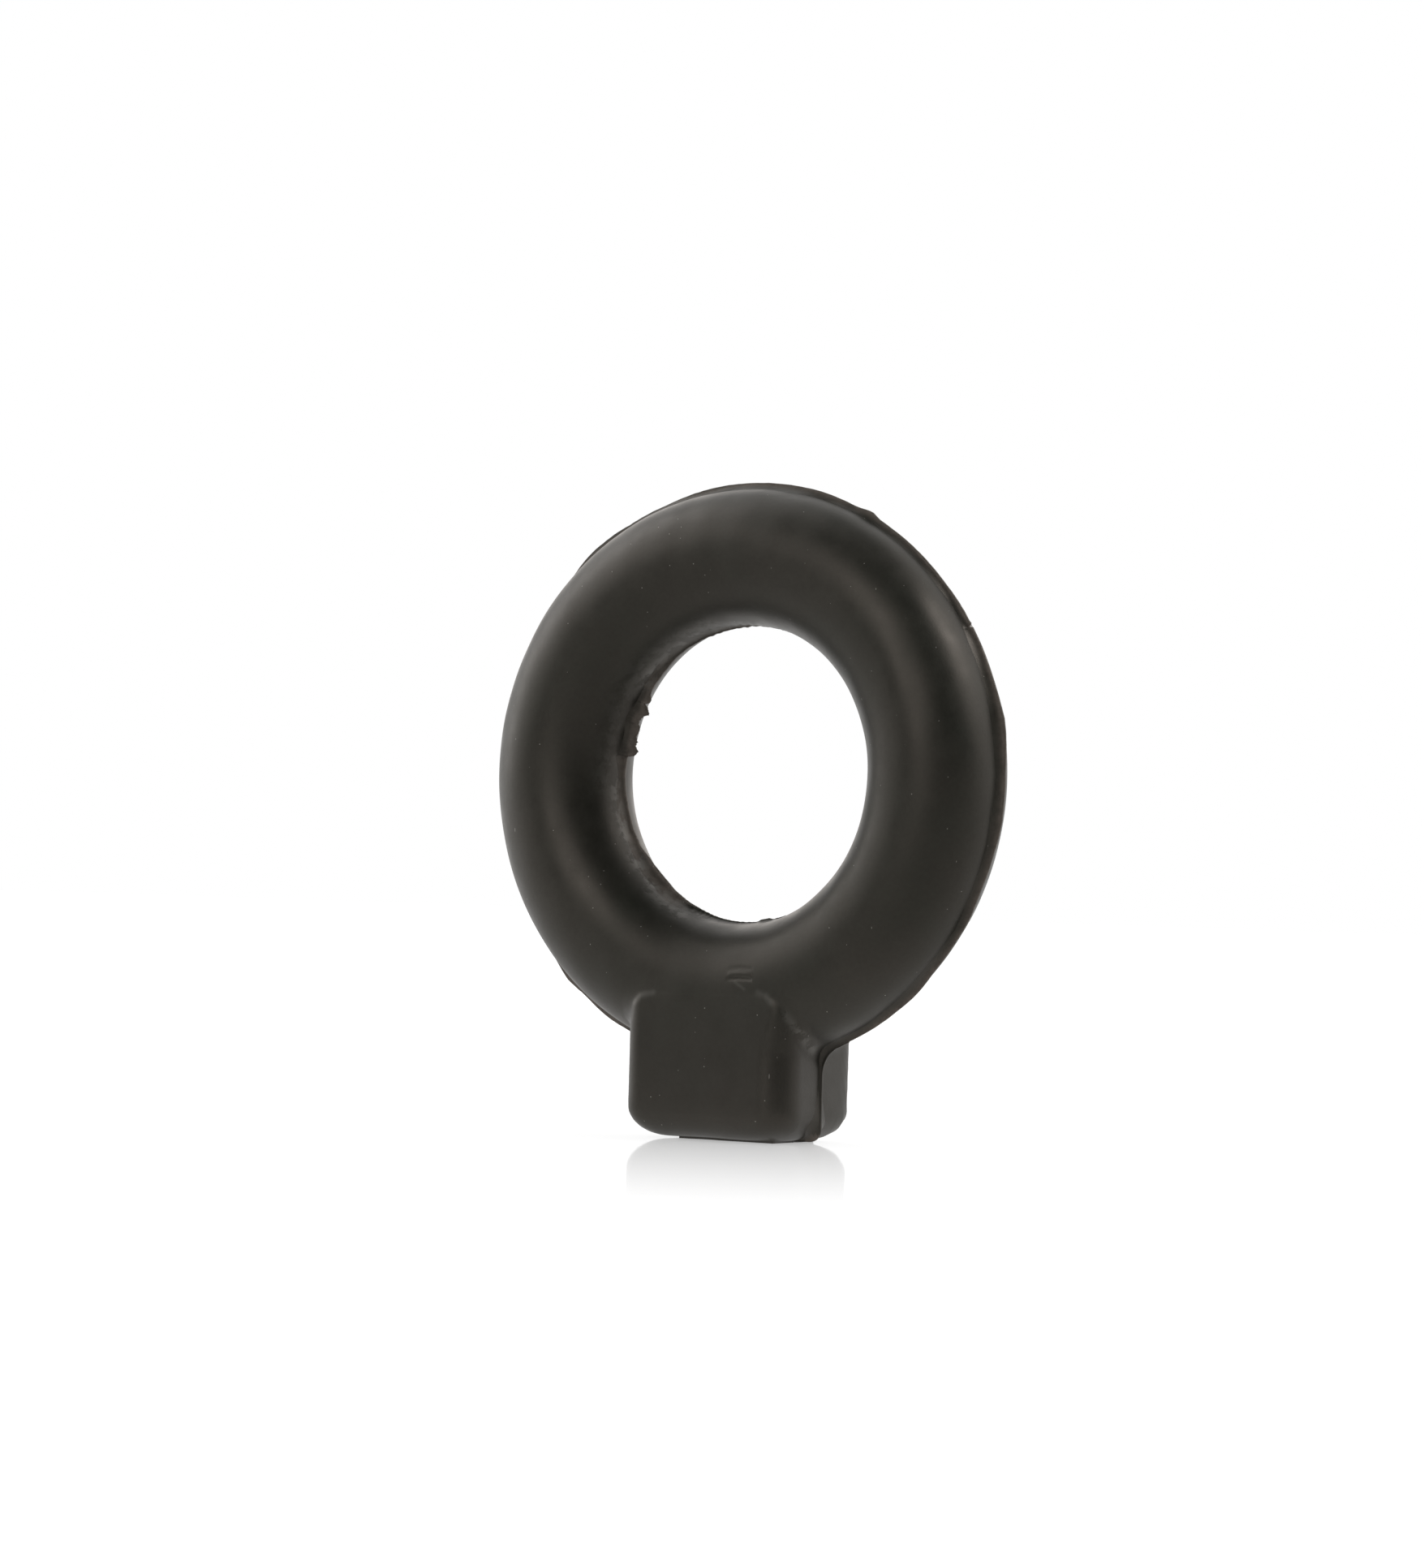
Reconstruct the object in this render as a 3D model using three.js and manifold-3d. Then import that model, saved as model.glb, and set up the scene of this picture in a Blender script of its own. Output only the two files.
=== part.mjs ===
// Exhaust hanger rubber: a thick round ring with a square lug under it, moulded as one piece of black rubber.
// Millimetres, +Z up. The part stands on its lug, its front towards -Y, and the ring's axis runs along Y.
// The origin is on the flat of the foot, straight under the ring's axis.

import * as THREE from 'three';
import { LoftGeometry } from 'three/addons/geometries/LoftGeometry.js';
import { mergeVertices } from 'three/addons/utils/BufferGeometryUtils.js';
import Module from 'manifold-3d';

const wasm = await Module();
wasm.setup();

// Driving dimensions of the ring
const ringCentreHeight = 36.8;   // from the floor to the ring's axis
const ringRadius = 22;           // from the axis to the middle of the round section
const sectionRadius = 6.9;

// Driving dimensions of the lug
const lugWidth = 19.2;
const lugProud = 0.1;            // how far its flat front and back stand out past the ring's
const lugHead = 1;               // how far the lug reaches up past the lowest point of the ring's middle line
const lugEdgeRadius = 2;         // upright edges and the edges of the buried head
const footEdgeRadius = 3;
const blendRadius = 2;           // hollow fillet between the ring and the sides of the lug

// Driving dimensions of the moulding flash, a thin fin all round at the parting plane
const flashThickness = 0.44;
const flashFootWidth = 1.5;      // where the fin grows out of the ring's outside
const flashFootRise = 0.45;      // height of that thicker foot
const ridgeRise = 0.45;          // on the sides of the lug
const webRadius = 3;             // where the fin turns from the ring into the lug
const webFootRadius = 1.3;       // outer corner of the fin at the foot, on the right
const landHeight = 0.2;          // low cut-off pad of flash that the part stands on
const landDepth = 8;
const landLeft = 4.4;            // from the middle to the pad's cut left end
const landRight = 6.7;
const landEdgeRadius = 0.8;

// How far the trimmed fin stands proud of the ring: angle from +X in degrees, counterclockwise, and rise
const outerRise = [
  [-64, 0.5], [-47, 0.66], [-40, 0.5], [-28, 0.66], [-22, 0.55], [-8, 0.84], [1, 0.75], [7.5, 1],
  [11, 1.04], [16, 0.8], [24, 0.66], [40, 0.54], [60.5, 0.58], [62.6, 0.84], [66, 0.57], [75, 0.68],
  [101, 0.63], [112, 0.54], [120.5, 0.7], [124, 0.86], [130, 1.02], [134, 1], [138, 0.85], [150, 0.5],
  [166, 0.6], [200, 0.6], [221, 0.82], [225.4, 1.08], [231, 0.75], [238, 0.8], [243, 0.6],
];
const innerRise = [
  [0, 0.1], [66, 0.03], [90, 0.05], [104, 0.22], [127, 0.3], [134, 0.5], [145, 0.68], [149.5, 1],
  [151.2, 1.3], [154, 1.6], [157.4, 0.95], [160.3, 1.2], [164.6, 1.13], [166.8, 1.38], [170.3, 1.55],
  [173, 1.2], [173.4, 0.5], [180, 0.42], [210, 0.5], [226, 0.88], [253, 0.5], [277, 0.2], [280, 0.47],
  [283.5, 0.2], [360, 0.1],
];

// A shallow dent in the front of the ring, above the lug
const dentX = 4.1;
const dentBelowAxis = 20.1;
const dentLength = 2.6;
const dentHeight = 1.1;
const dentDepth = 0.3;

// Smoothness
const ringSegments = 96;
const sectionSegments = 36;
const cornerSteps = 7;
const blendSteps = 6;
const flashStep = 5;             // degrees
const flashFootSteps = 3;
const mergeTolerance = 1e-4;

// Sizes that follow
const lugDepth = 2 * (sectionRadius + lugProud);
const footPlane = landHeight;
const lugTop = ringCentreHeight - ringRadius + lugHead;
const outerRadius = ringRadius + sectionRadius;
const holeRadius = ringRadius - sectionRadius;
const degrees = Math.PI / 180;

function solid(geometry) {
  const plain = new THREE.BufferGeometry();
  plain.setAttribute('position', geometry.getAttribute('position'));
  plain.setIndex(geometry.getIndex());
  const merged = mergeVertices(plain, mergeTolerance);
  return new wasm.Manifold(new wasm.Mesh({
    numProp: 3,
    vertProperties: new Float32Array(merged.attributes.position.array),
    triVerts: new Uint32Array(merged.index.array),
  }));
}

function meshGeometry(manifold) {
  const mesh = manifold.getMesh();
  const geometry = new THREE.BufferGeometry();
  geometry.setAttribute('position', new THREE.BufferAttribute(mesh.vertProperties, mesh.numProp));
  geometry.setIndex(new THREE.BufferAttribute(mesh.triVerts, 1));
  geometry.computeVertexNormals();
  return geometry;
}

// The ring is a round section revolved about Y
function ring() {
  const profile = [];
  for (let i = 0; i <= sectionSegments; i += 1) {
    const turn = (i % sectionSegments) / sectionSegments * 2 * Math.PI;
    profile.push(new THREE.Vector2(
      ringRadius + sectionRadius * Math.cos(turn),
      sectionRadius * Math.sin(turn),
    ));
  }
  return solid(new THREE.LatheGeometry(profile, ringSegments).translate(0, 0, ringCentreHeight));
}

// One level section of the lug, a rectangle with round corners
function lugSection(inset, height) {
  const points = [];
  const x = lugWidth / 2 - inset - lugEdgeRadius;
  const y = lugDepth / 2 - inset - lugEdgeRadius;
  const corners = [[x, y], [-x, y], [-x, -y], [x, -y]];
  corners.forEach(([cx, cy], quarter) => {
    for (let i = 0; i <= cornerSteps; i += 1) {
      const turn = (quarter + i / cornerSteps) * Math.PI / 2;
      points.push(new THREE.Vector3(
        cx + lugEdgeRadius * Math.cos(turn),
        cy + lugEdgeRadius * Math.sin(turn),
        height,
      ));
    }
  });
  return points;
}

// The lug is a loft from its rounded foot to its rounded head inside the ring
function lug() {
  const sections = [];
  for (let i = 0; i <= cornerSteps; i += 1) {
    const turn = i / cornerSteps * Math.PI / 2;
    sections.push(lugSection(
      footEdgeRadius * (1 - Math.sin(turn)),
      footPlane + footEdgeRadius * (1 - Math.cos(turn)),
    ));
  }
  for (let i = 0; i <= cornerSteps; i += 1) {
    const turn = i / cornerSteps * Math.PI / 2;
    sections.push(lugSection(
      lugEdgeRadius * (1 - Math.cos(turn)),
      lugTop - lugEdgeRadius * (1 - Math.sin(turn)),
    ));
  }
  return solid(new LoftGeometry(sections, { capStart: true, capEnd: true }));
}

// Where a ball of the blend's radius rests against both the lug's upright wall and the ring
function blendSection(wall, normal) {
  const depthIn = 0.6;
  const ball = wall.clone().addScaledVector(normal, blendRadius);
  const reach = sectionRadius + blendRadius;
  const fromAxis = ringRadius + Math.sqrt(Math.max(reach * reach - ball.y * ball.y, 0));
  const drop = Math.sqrt(fromAxis * fromAxis - ball.x * ball.x);
  ball.z = ringCentreHeight - drop;
  const middle = new THREE.Vector3(
    ball.x * ringRadius / fromAxis,
    0,
    ringCentreHeight - drop * ringRadius / fromAxis,
  );
  const toWall = normal.clone().negate();
  const toRing = middle.sub(ball).normalize();
  const angle = toWall.angleTo(toRing);
  const side = toRing.clone().addScaledVector(toWall, -Math.cos(angle)).normalize();
  const points = [];
  for (let i = 0; i <= blendSteps; i += 1) {
    const turn = angle * i / blendSteps;
    points.push(ball.clone()
      .addScaledVector(toWall, blendRadius * Math.cos(turn))
      .addScaledVector(side, blendRadius * Math.sin(turn)));
  }
  const corner = blendRadius / Math.cos(angle / 2) + depthIn * 1.2;
  const half = toWall.clone().add(toRing).normalize();
  points.push(points[blendSteps].clone().addScaledVector(toRing, depthIn));
  points.push(ball.clone().addScaledVector(half, corner));
  points.push(points[0].clone().addScaledVector(toWall, depthIn));
  return points;
}

// The blend follows one side of the lug, from round its front edge to round its back edge
function blend(side) {
  const cornerY = lugDepth / 2 - lugEdgeRadius;
  const lastSine = (sectionRadius + blendRadius - cornerY) / (lugEdgeRadius + blendRadius);
  const lastTurn = Math.asin(Math.min(lastSine, 1)) * 0.98;
  const sections = [];
  const add = (turn, y) => {
    const normal = new THREE.Vector3(side * Math.cos(turn), Math.sin(turn), 0);
    const wall = new THREE.Vector3(
      side * (lugWidth / 2 - lugEdgeRadius + lugEdgeRadius * Math.cos(turn)),
      y + lugEdgeRadius * Math.sin(turn),
      0,
    );
    sections.push(blendSection(wall, normal));
  };
  for (let i = cornerSteps; i > 0; i -= 1) add(-lastTurn * i / cornerSteps, -cornerY);
  for (let i = 0; i <= cornerSteps; i += 1) add(0, cornerY * (2 * i / cornerSteps - 1));
  for (let i = 1; i <= cornerSteps; i += 1) add(lastTurn * i / cornerSteps, cornerY);
  if (side > 0) sections.forEach((points) => points.reverse());
  return solid(new LoftGeometry(sections, { capStart: true, capEnd: true }));
}

function riseAt(marks, angle) {
  const next = marks.findIndex((mark) => mark[0] >= angle);
  if (next <= 0) return marks[0][1];
  const [a0, r0] = marks[next - 1];
  const [a1, r1] = marks[next];
  return r0 + (r1 - r0) * (angle - a0) / (a1 - a0);
}

// Points of a fin's edge round the ring, at each mark and every few degrees between
function finEdge(marks, from, to, radiusAt) {
  const angles = marks.map((mark) => mark[0]).filter((angle) => angle > from && angle < to);
  for (let angle = from; angle <= to; angle += flashStep) {
    if (angles.every((other) => Math.abs(other - angle) > flashStep / 2)) angles.push(angle);
  }
  angles.sort((a, b) => a - b);
  return angles.map((angle) => {
    const radius = radiusAt(riseAt(marks, angle));
    return new THREE.Vector2(
      radius * Math.cos(angle * degrees),
      ringCentreHeight + radius * Math.sin(angle * degrees),
    );
  });
}

// The fin is a plate at the parting plane, with a web and a ridge at each side of the lug and a torn edge
// in the hole
function flash() {
  const ridgeX = lugWidth / 2 + ridgeRise;
  const webX = ridgeX + webRadius;
  const webFromAxis = outerRadius + outerRise[0][1] + webRadius;
  const webZ = ringCentreHeight - Math.sqrt(webFromAxis * webFromAxis - webX * webX);
  const webAngle = Math.acos(webX / webFromAxis) / degrees;
  const webTurn = webAngle * degrees;

  const outline = new THREE.Shape();
  outline.moveTo(-landLeft, 0);
  outline.lineTo(ridgeX - webFootRadius, 0);
  outline.absarc(ridgeX - webFootRadius, webFootRadius, webFootRadius, -Math.PI / 2, 0, false);
  outline.lineTo(ridgeX, webZ);
  outline.absarc(webX, webZ, webRadius, Math.PI, Math.PI - webTurn, true);
  finEdge(outerRise, -webAngle + 1, 180 + webAngle - 1, (rise) => outerRadius + rise)
    .forEach((point) => outline.lineTo(point.x, point.y));
  outline.absarc(-webX, webZ, webRadius, webTurn, 0, true);
  outline.lineTo(-ridgeX, footPlane + footEdgeRadius);
  outline.absellipse(
    footEdgeRadius - lugWidth / 2, footPlane + footEdgeRadius,
    footEdgeRadius + ridgeRise, footEdgeRadius, Math.PI, 1.5 * Math.PI, false,
  );
  outline.lineTo(-landLeft, footPlane);
  outline.closePath();
  outline.holes.push(new THREE.Path(
    finEdge(innerRise, 0, 360 - flashStep / 2, (rise) => holeRadius - rise),
  ));

  const plate = new THREE.ExtrudeGeometry(outline, {
    depth: flashThickness, bevelEnabled: false, curveSegments: cornerSteps,
  });
  return solid(plate.rotateX(Math.PI / 2).translate(0, flashThickness / 2, 0));
}

// The fin grows out of the ring on a hollow-sided foot, revolved like the ring
function flashFoot() {
  const half = flashFootWidth / 2;
  const onRing = ringRadius + Math.sqrt(sectionRadius * sectionRadius - half * half);
  const tip = outerRadius + flashFootRise;
  const side = [new THREE.Vector2(onRing - flashFootRise, half)];
  for (let i = 0; i <= flashFootSteps; i += 1) {
    const share = i / flashFootSteps;
    const narrow = (1 - share) * (1 - share);
    side.push(new THREE.Vector2(
      onRing + (tip - onRing) * share,
      flashThickness / 2 + (half - flashThickness / 2) * narrow,
    ));
  }
  const profile = side.map((point) => new THREE.Vector2(point.x, -point.y)).concat(side.reverse());
  profile.push(profile[0].clone());
  return solid(new THREE.LatheGeometry(profile, ringSegments).translate(0, 0, ringCentreHeight));
}

// The pad under the foot
function land() {
  const half = landDepth / 2;
  const r = landEdgeRadius;
  const outline = new THREE.Shape();
  outline.moveTo(-landLeft, -half);
  outline.lineTo(landRight - r, -half);
  outline.absarc(landRight - r, r - half, r, -Math.PI / 2, 0, false);
  outline.lineTo(landRight, half - r);
  outline.absarc(landRight - r, half - r, r, 0, Math.PI / 2, false);
  outline.lineTo(-landLeft, half);
  outline.closePath();
  return solid(new THREE.ExtrudeGeometry(outline, {
    depth: landHeight + footEdgeRadius / 2, bevelEnabled: false, curveSegments: cornerSteps,
  }));
}

// The dent is a shallow oval scoop
function dent() {
  const crest = Math.hypot(dentX, dentBelowAxis) - ringRadius;
  const surface = Math.sqrt(sectionRadius * sectionRadius - crest * crest);
  const scoop = new THREE.SphereGeometry(0.5, 20, 12).scale(dentLength, 2 * dentDepth, dentHeight);
  return solid(scoop.translate(dentX, -surface, ringCentreHeight - dentBelowAxis));
}

const rubber = new THREE.MeshStandardMaterial({ color: 0x1b1b1a, roughness: 0.55, metalness: 0 });

const body = ring()
  .add(lug())
  .add(blend(1))
  .add(blend(-1))
  .add(flash())
  .add(flashFoot())
  .add(land())
  .subtract(dent());

const hanger = new THREE.Mesh(meshGeometry(body), rubber);
hanger.name = 'hanger_rubber';

const group = new THREE.Group();
group.add(hanger);

export default group;
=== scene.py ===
import math

import bpy
import numpy as np
from mathutils import Matrix, Vector


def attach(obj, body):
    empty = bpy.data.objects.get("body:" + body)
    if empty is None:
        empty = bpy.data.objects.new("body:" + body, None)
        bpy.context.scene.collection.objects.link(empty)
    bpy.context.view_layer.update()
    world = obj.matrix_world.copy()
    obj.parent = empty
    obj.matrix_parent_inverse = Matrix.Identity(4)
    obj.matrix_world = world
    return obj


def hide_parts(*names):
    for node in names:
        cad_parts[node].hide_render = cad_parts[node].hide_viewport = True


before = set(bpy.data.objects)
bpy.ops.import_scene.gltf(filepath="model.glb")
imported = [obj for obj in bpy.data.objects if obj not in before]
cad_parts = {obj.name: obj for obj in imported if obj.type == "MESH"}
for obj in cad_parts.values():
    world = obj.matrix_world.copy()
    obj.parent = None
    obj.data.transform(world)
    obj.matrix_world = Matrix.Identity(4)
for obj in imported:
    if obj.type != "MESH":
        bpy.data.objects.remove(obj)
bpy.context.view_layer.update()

MM = 0.001

# Sizes of the moulding as the CAD part has them, in millimetres
RING_HEIGHT = 36.8            # from the floor to the ring's axis
RING_RADIUS = 22.0            # from the axis to the middle of the round section
SECTION_RADIUS = 6.9
OUTER_RADIUS = RING_RADIUS + SECTION_RADIUS
HOLE_RADIUS = RING_RADIUS - SECTION_RADIUS
LUG_HALF_WIDTH = 9.6
LUG_EDGE_RADIUS = 2.0
FOOT_EDGE_RADIUS = 3.0
BLEND_RADIUS = 2.0            # hollow between the ring and the lug
FLASH_HALF = 0.22             # half of the flash's thickness
FLASH_FOOT = 0.75             # half of its width where it grows out of the ring's outside
WEB_RADIUS = 3.0              # where the flash turns from the ring into the lug
WEB_FOOT_RADIUS = 1.3         # outer corner of the flash at the foot, on the right
LAND_HEIGHT = 0.2             # low pad of cut-off flash that the part stands on
LAND_HALF_DEPTH = 4.0
LAND_LEFT = 4.4
LAND_RIGHT = 6.7

# Sizes that are the scene's own or finer than the CAD part's, in millimetres
LUG_HALF_DEPTH = 6.93
LUG_HEAD = 1.55               # how far the lug reaches up past the lowest point of the ring's middle line
LUG_CORNER_RADIUS = 3.1       # its top corners, seen from the front
RIGHT_EDGE_EXTRA = 1.3        # how much rounder its front right edge is low down
RIGHT_EDGE_START = 2.0        # this begins so far under the ring's middle line
RIGHT_EDGE_FULL = 6.0         # and is complete here
RIDGE_RISE = 0.28             # rise of the flash on the lug's sides
TORN_FOOT = 0.15              # gap between the floor and the flash's torn end, right of the pad
FLASH_TIP_HALF = 0.13
FLASH_TIP_ROUND = 0.7         # share of it that is left at the cut edge
BACK_FOOT_EXTRA = 0.25        # what the flash's foot adds to its half thickness: behind,
FOOT_CORNER_EXTRA = 1.4       # where its corner at the lug's foot is filled,
HOLE_FOOT_EXTRA = 0.14        # in the hole,
HOLE_BACK_EXTRA = 0.3         # in the hole behind,
HOLE_LEFT_EXTRA = 0.75        # at the hole's left,
HOLE_SWELLING = 0.7           # at its upper left and at its bottom,
TORN_FOOT_LESS = 0.3          # and what the torn piece's foot has less
UNEVENNESS = 0.02             # of the whole skin

# How far the flash's edge, its lean and its foot wander, in millimetres
OUTER_TRIM = 0.01
HOLE_TRIM = 0.012
TORN_TRIM = 0.05
ROUGH_TRIM = 0.05
FLASH_LEAN = 0.05
TORN_LEAN = 0.1
FOOT_WANDER = 0.22
HOLE_FOOT_WANDER = 0.08
HOLE_LEFT_WANDER = 0.3

# Rough moulding marks at the hole's top, in millimetres: height, reach from the flash's foot, and slant
MARK_HEIGHT = 0.07
MARK_REACH = 1.1
MARK_SLANT = 0.5

# The blister low in the ring's front, in millimetres, and its folds (lid, crease under it and crease over it):
# height over the blister's middle, half width, and depth
DENT_X = 3.95
DENT_Z = -20.15
DENT_HALF_LENGTH = 1.5
DENT_DROOP = 0.1
DENT_FOLDS = [(0.2, 0.26, -0.13), (-0.3, 0.15, 0.2), (0.68, 0.16, 0.1)]

# Places round the ring, in degrees from +X, counterclockwise seen from the front: middle, half width, steepness
ROUGH_TOP = (97, 20, 4)
FOOT_CORNER = (-75.3, 1.5, 2)
HOLE_LEFT = (196, 62, 4)
HOLE_UPPER = (116, 21, 4)
HOLE_LOWER = (250, 31, 4)
TORN_START, TORN_STOP = 144, 173.2

# Angles from straight down over which the flash's foot widens, and over which it takes its own colour
FOOT_WIDENS = (17, 25)
FLASH_SHOWS = (24, 30)

# Smooth wanders round the ring: seed, number of waves, fewest and most turns of a wave
WAVES = {
    "outer edge": (3, 14, 60, 260),
    "hole edge": (5, 12, 50, 200),
    "torn edge": (8, 10, 150, 420),
    "rough top": (9, 6, 70, 110),
    "outer lean": (11, 8, 5, 40),
    "hole lean": (12, 8, 6, 50),
    "torn lean": (13, 6, 30, 90),
    "outer foot": (21, 10, 3, 30),
    "hole foot": (22, 8, 4, 30),
    "hole left": (23, 9, 5, 34),
}

# Waves of the skin's unevenness: seed, number, and shortest and longest wavelength in millimetres
SKIN_WAVES = (31, 24, 4.0, 11.0)

# Rise of the trimmed flash in millimetres, by angle round the ring in degrees
OUTER_RISE = [
    (-64, 0.5), (-47, 0.66), (-40, 0.5), (-28, 0.66), (-22, 0.55), (-14, 0.68), (-8, 0.84), (1, 0.75),
    (7.5, 0.97), (11, 1.04), (16, 0.8), (24, 0.65), (29.7, 0.63), (30.2, 0.66), (30.45, 0.3), (30.75, 0.34),
    (30.9, 0.68), (31.6, 0.61), (34, 0.6), (40, 0.54), (57, 0.54), (60.5, 0.57), (62.6, 0.84), (66, 0.55),
    (75, 0.67), (86, 0.64), (101, 0.62), (112, 0.53), (120.5, 0.69), (124, 0.86), (130, 1.02), (134, 1.0),
    (138, 0.85), (150, 0.5), (166, 0.6), (200, 0.6), (221, 0.82), (225.4, 1.08), (231, 0.75), (238, 0.8),
    (243, 0.6),
]
INNER_RISE = [
    (0, 0.1), (64, 0.1), (67, 0.02), (88, 0.02), (92, 0.12), (104, 0.22), (127, 0.3), (134, 0.5),
    (141, 0.55), (145.2, 0.68), (146.7, 0.95), (149.3, 1.02), (150.5, 0.8), (151.2, 1.3), (154, 1.6),
    (155, 1.2), (157.4, 0.95), (159, 0.88), (160.3, 1.18), (162, 1.25), (164.6, 1.13), (166.8, 1.38),
    (168.6, 1.3), (170.3, 1.55), (172.3, 1.38), (173, 1.2), (173.4, 0.5), (180, 0.42), (210, 0.5),
    (218, 0.78), (226, 0.85), (238, 0.63), (246, 0.55), (253, 0.43), (260, 0.32), (268, 0.25), (277, 0.2),
    (278.5, 0.36), (282, 0.38), (283.5, 0.2), (290, 0.12), (360, 0.1),
]

# Rows up the flash's face, as shares of its rise, and how much of its colour each row has, from foot to tip
FACE_ROWS = (0.0, 0.12, 0.3, 0.55, 0.8, 0.96)
OUTER_FLASH_SHARES = [0.0, 0.05, 0.2, 0.5, 0.85, 1.0, 1.0]
HOLE_FLASH_SHARES = [0.3, 0.7, 0.8, 0.8, 0.85, 0.95, 1.0]
TORN_FOOT_ROWS, TORN_FOOT_DARK = 3, 0.8
HOLE_UPPER_DARK = 0.8
TORN_END_X, TORN_END_Z = 8.2, 0.85    # the torn end at the lug's foot lies past and under these, in millimetres

# Smeared marks and painted highlights, in millimetres from the ring's centre: ends of the middle line, radius
# and strength of each
SMEARS_AND_HIGHLIGHTS = [
    ((-15.1, -1.2, -1.0), (-14.3, -1.2, -4.9), 0.75, 0.6),
    ((-14.3, -1.0, -4.9), (-13.6, -1.2, -6.6), 0.55, 1.0),
    ((-12.5, -1.1, -8.7), (-11.8, -1.2, -9.5), 0.85, 1.0),
    ((-10.6, -1.4, -11.0), (-10.0, -1.5, -11.5), 0.5, 0.9),
    ((-9.8, -2.2, -12.0), (-6.0, -2.4, -14.3), 0.9, 0.5),
    ((-9.6, -0.9, -11.9), (-3.0, -0.9, -14.9), 0.7, 0.5),
    ((-15.6, -2.4, -1.0), (-12.4, -2.6, 9.8), 1.5, 0.16),
    ((-11.5, -2.4, 11.0), (-3.5, -2.4, 15.4), 1.2, 0.2),
    # These two are painted highlights on the hole's upper left, not smears
    ((-12.0, -1.0, 9.2), (-11.3, -1.2, 10.3), 0.8, 0.7),
    ((-10.8, -1.2, 10.9), (-6.0, -1.2, 14.1), 0.8, 0.45),
    ((9.1, -6.3, -23.9), (9.95, -5.0, -25.6), 0.45, 0.3),
    ((9.95, -5.0, -25.6), (9.85, -2.0, -27.4), 0.5, 0.5),
]

# Painted highlights on the lips at the top corners of the lug's front, and a scratch under the blister, in the
# same form
LIP_HIGHLIGHTS_AND_SCRATCH = [
    ((-8.7, -6.6, -24.9), (-8.35, -6.75, -23.4), 0.28, 0.25),
    ((-8.35, -6.75, -23.4), (-7.7, -6.85, -22.6), 0.3, 0.5),
    ((-7.7, -6.85, -22.6), (-6.1, -6.9, -22.2), 0.3, 0.36),
    ((6.2, -6.9, -21.8), (7.1, -6.86, -22.1), 0.32, 0.25),
    ((7.1, -6.86, -22.1), (7.7, -6.83, -22.7), 0.32, 0.36),
    ((3.4, -6.9, -20.8), (4.6, -6.9, -21.5), 0.14, 0.3),
]

# Columns of the grid, in degrees. Under the ring: bounds of each stretch from straight down, and its step
LUG_BOUNDS = [0, 4, 14, 20.5, 26, 32]
LUG_STEPS = [0.5, 0.42, 0.13, 0.4, 0.65]
RING_STEP = 1.02
TORN_COLUMNS = (149.4, 174.6, 0.42)
TORN_SPAN = (149.2, 174.7)    # the ring's own columns leave this out,
NICK_COLUMNS = (29.65, 31.7, 0.24)
NICK_MIDDLE, NICK_CLEAR = 30.6, 1.1   # and keep this far off the nick

# Steps in the form: their angles, how far other columns keep off, and how near the two columns beside each are
LAND_STEPS = (-90 - math.degrees(math.atan(LAND_LEFT / RING_HEIGHT)),
              -90 + math.degrees(math.atan(LAND_RIGHT / RING_HEIGHT)))
LAND_STEP_CLEAR, LAND_STEP_GAP = 0.16, 0.05
TORN_STEPS = (172.95, 150.5)
TORN_STEP_CLEAR, TORN_STEP_GAP = 0.2, 0.1

# Rows of the grid: from the outer flash to the pad's edge, from there to the hole's flash, and where they crowd
FRONT_ROWS = (7, 80)
BACK_ROWS = (6, 40)
ROW_CROWD, CROWD_MIDDLE, CROWD_WIDTH = 1.4, 0.46, 0.1
PAD_TURN = 14                 # the rows keep to the pad's edge up to this angle from straight down
PAD_GAP = 0.0035              # between the two rows at its edge, in radians

# Radii between which the surface is looked for, in millimetres, and how often the search halves its stretch
OUTER_LIMIT = 42
FLASH_SEARCH_START = 20
ROOT_SEARCH_START = 23
SECTION_SEARCH = (19, 0.5)
HALVINGS = 34
LEAST_RISE = 0.02             # of the flash over its root

# Camera: it sees the ring's centre from these angles and this far away in millimetres, where the photograph has
# so many pixels per millimetre
FRAME_WIDTH, FRAME_HEIGHT = 1755, 1932
VIEW_AZIMUTH = math.radians(31.59)
VIEW_ELEVATION = math.radians(-1.43)
VIEW_ROLL = math.radians(1.7)
VIEW_DISTANCE = 500.0
PIXELS_PER_MM = 12.194
RING_CENTRE_PIXEL = (921.1, 954.5)
SENSOR_WIDTH = 36.0
CLIP_START, CLIP_END = 0.01, 20.0

# Rubber: its two base colours, and what lies on it
RUBBER_OLIVE = (0.0128, 0.0150, 0.0114, 1)
RUBBER_BROWN = (0.0157, 0.0163, 0.0128, 1)
FLASH_COLOUR = (0.1, 0.084, 0.071, 1)
# Light grey of the smears and the scratch, which also paints the highlights on the lug's lips and the hole's
# upper left
MARK_AND_HIGHLIGHT_COLOUR = (0.13, 0.128, 0.118, 1)
DUST_COLOUR = (0.24, 0.23, 0.21, 1)
RUBBER_IOR = 1.55
RUBBER_TINT = (1.0, 0.88, 0.77, 1)    # of its shine
MID_NOISE = (0.3, 0.7)        # where most of a noise's values lie
MOTTLE_SHADES = (0.82, 1.0)
GRAIN_SHADES = (-0.06, 0.24)
LUG_SHADE = 0.68              # how dark the lug's foot is against the ring,
LUG_SHADE_HEIGHTS = (9.0, 17.0)   # and the heights between which this fades, in millimetres
SMEAR_AND_HIGHLIGHT_NOISE = (0.44, 0.54)    # smears and painted highlights show where their noise is over the second value, and not under the first
SPECK_SIZE, SPECK_SHARE = 0.055, 0.36     # radius in millimetres, and how many cells of a millimetre have one
FIBRE_SIZE, FIBRE_SHARE = 0.04, 0.2
FIBRE_TURN = (0.5, 0.9, 0.3)
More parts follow.
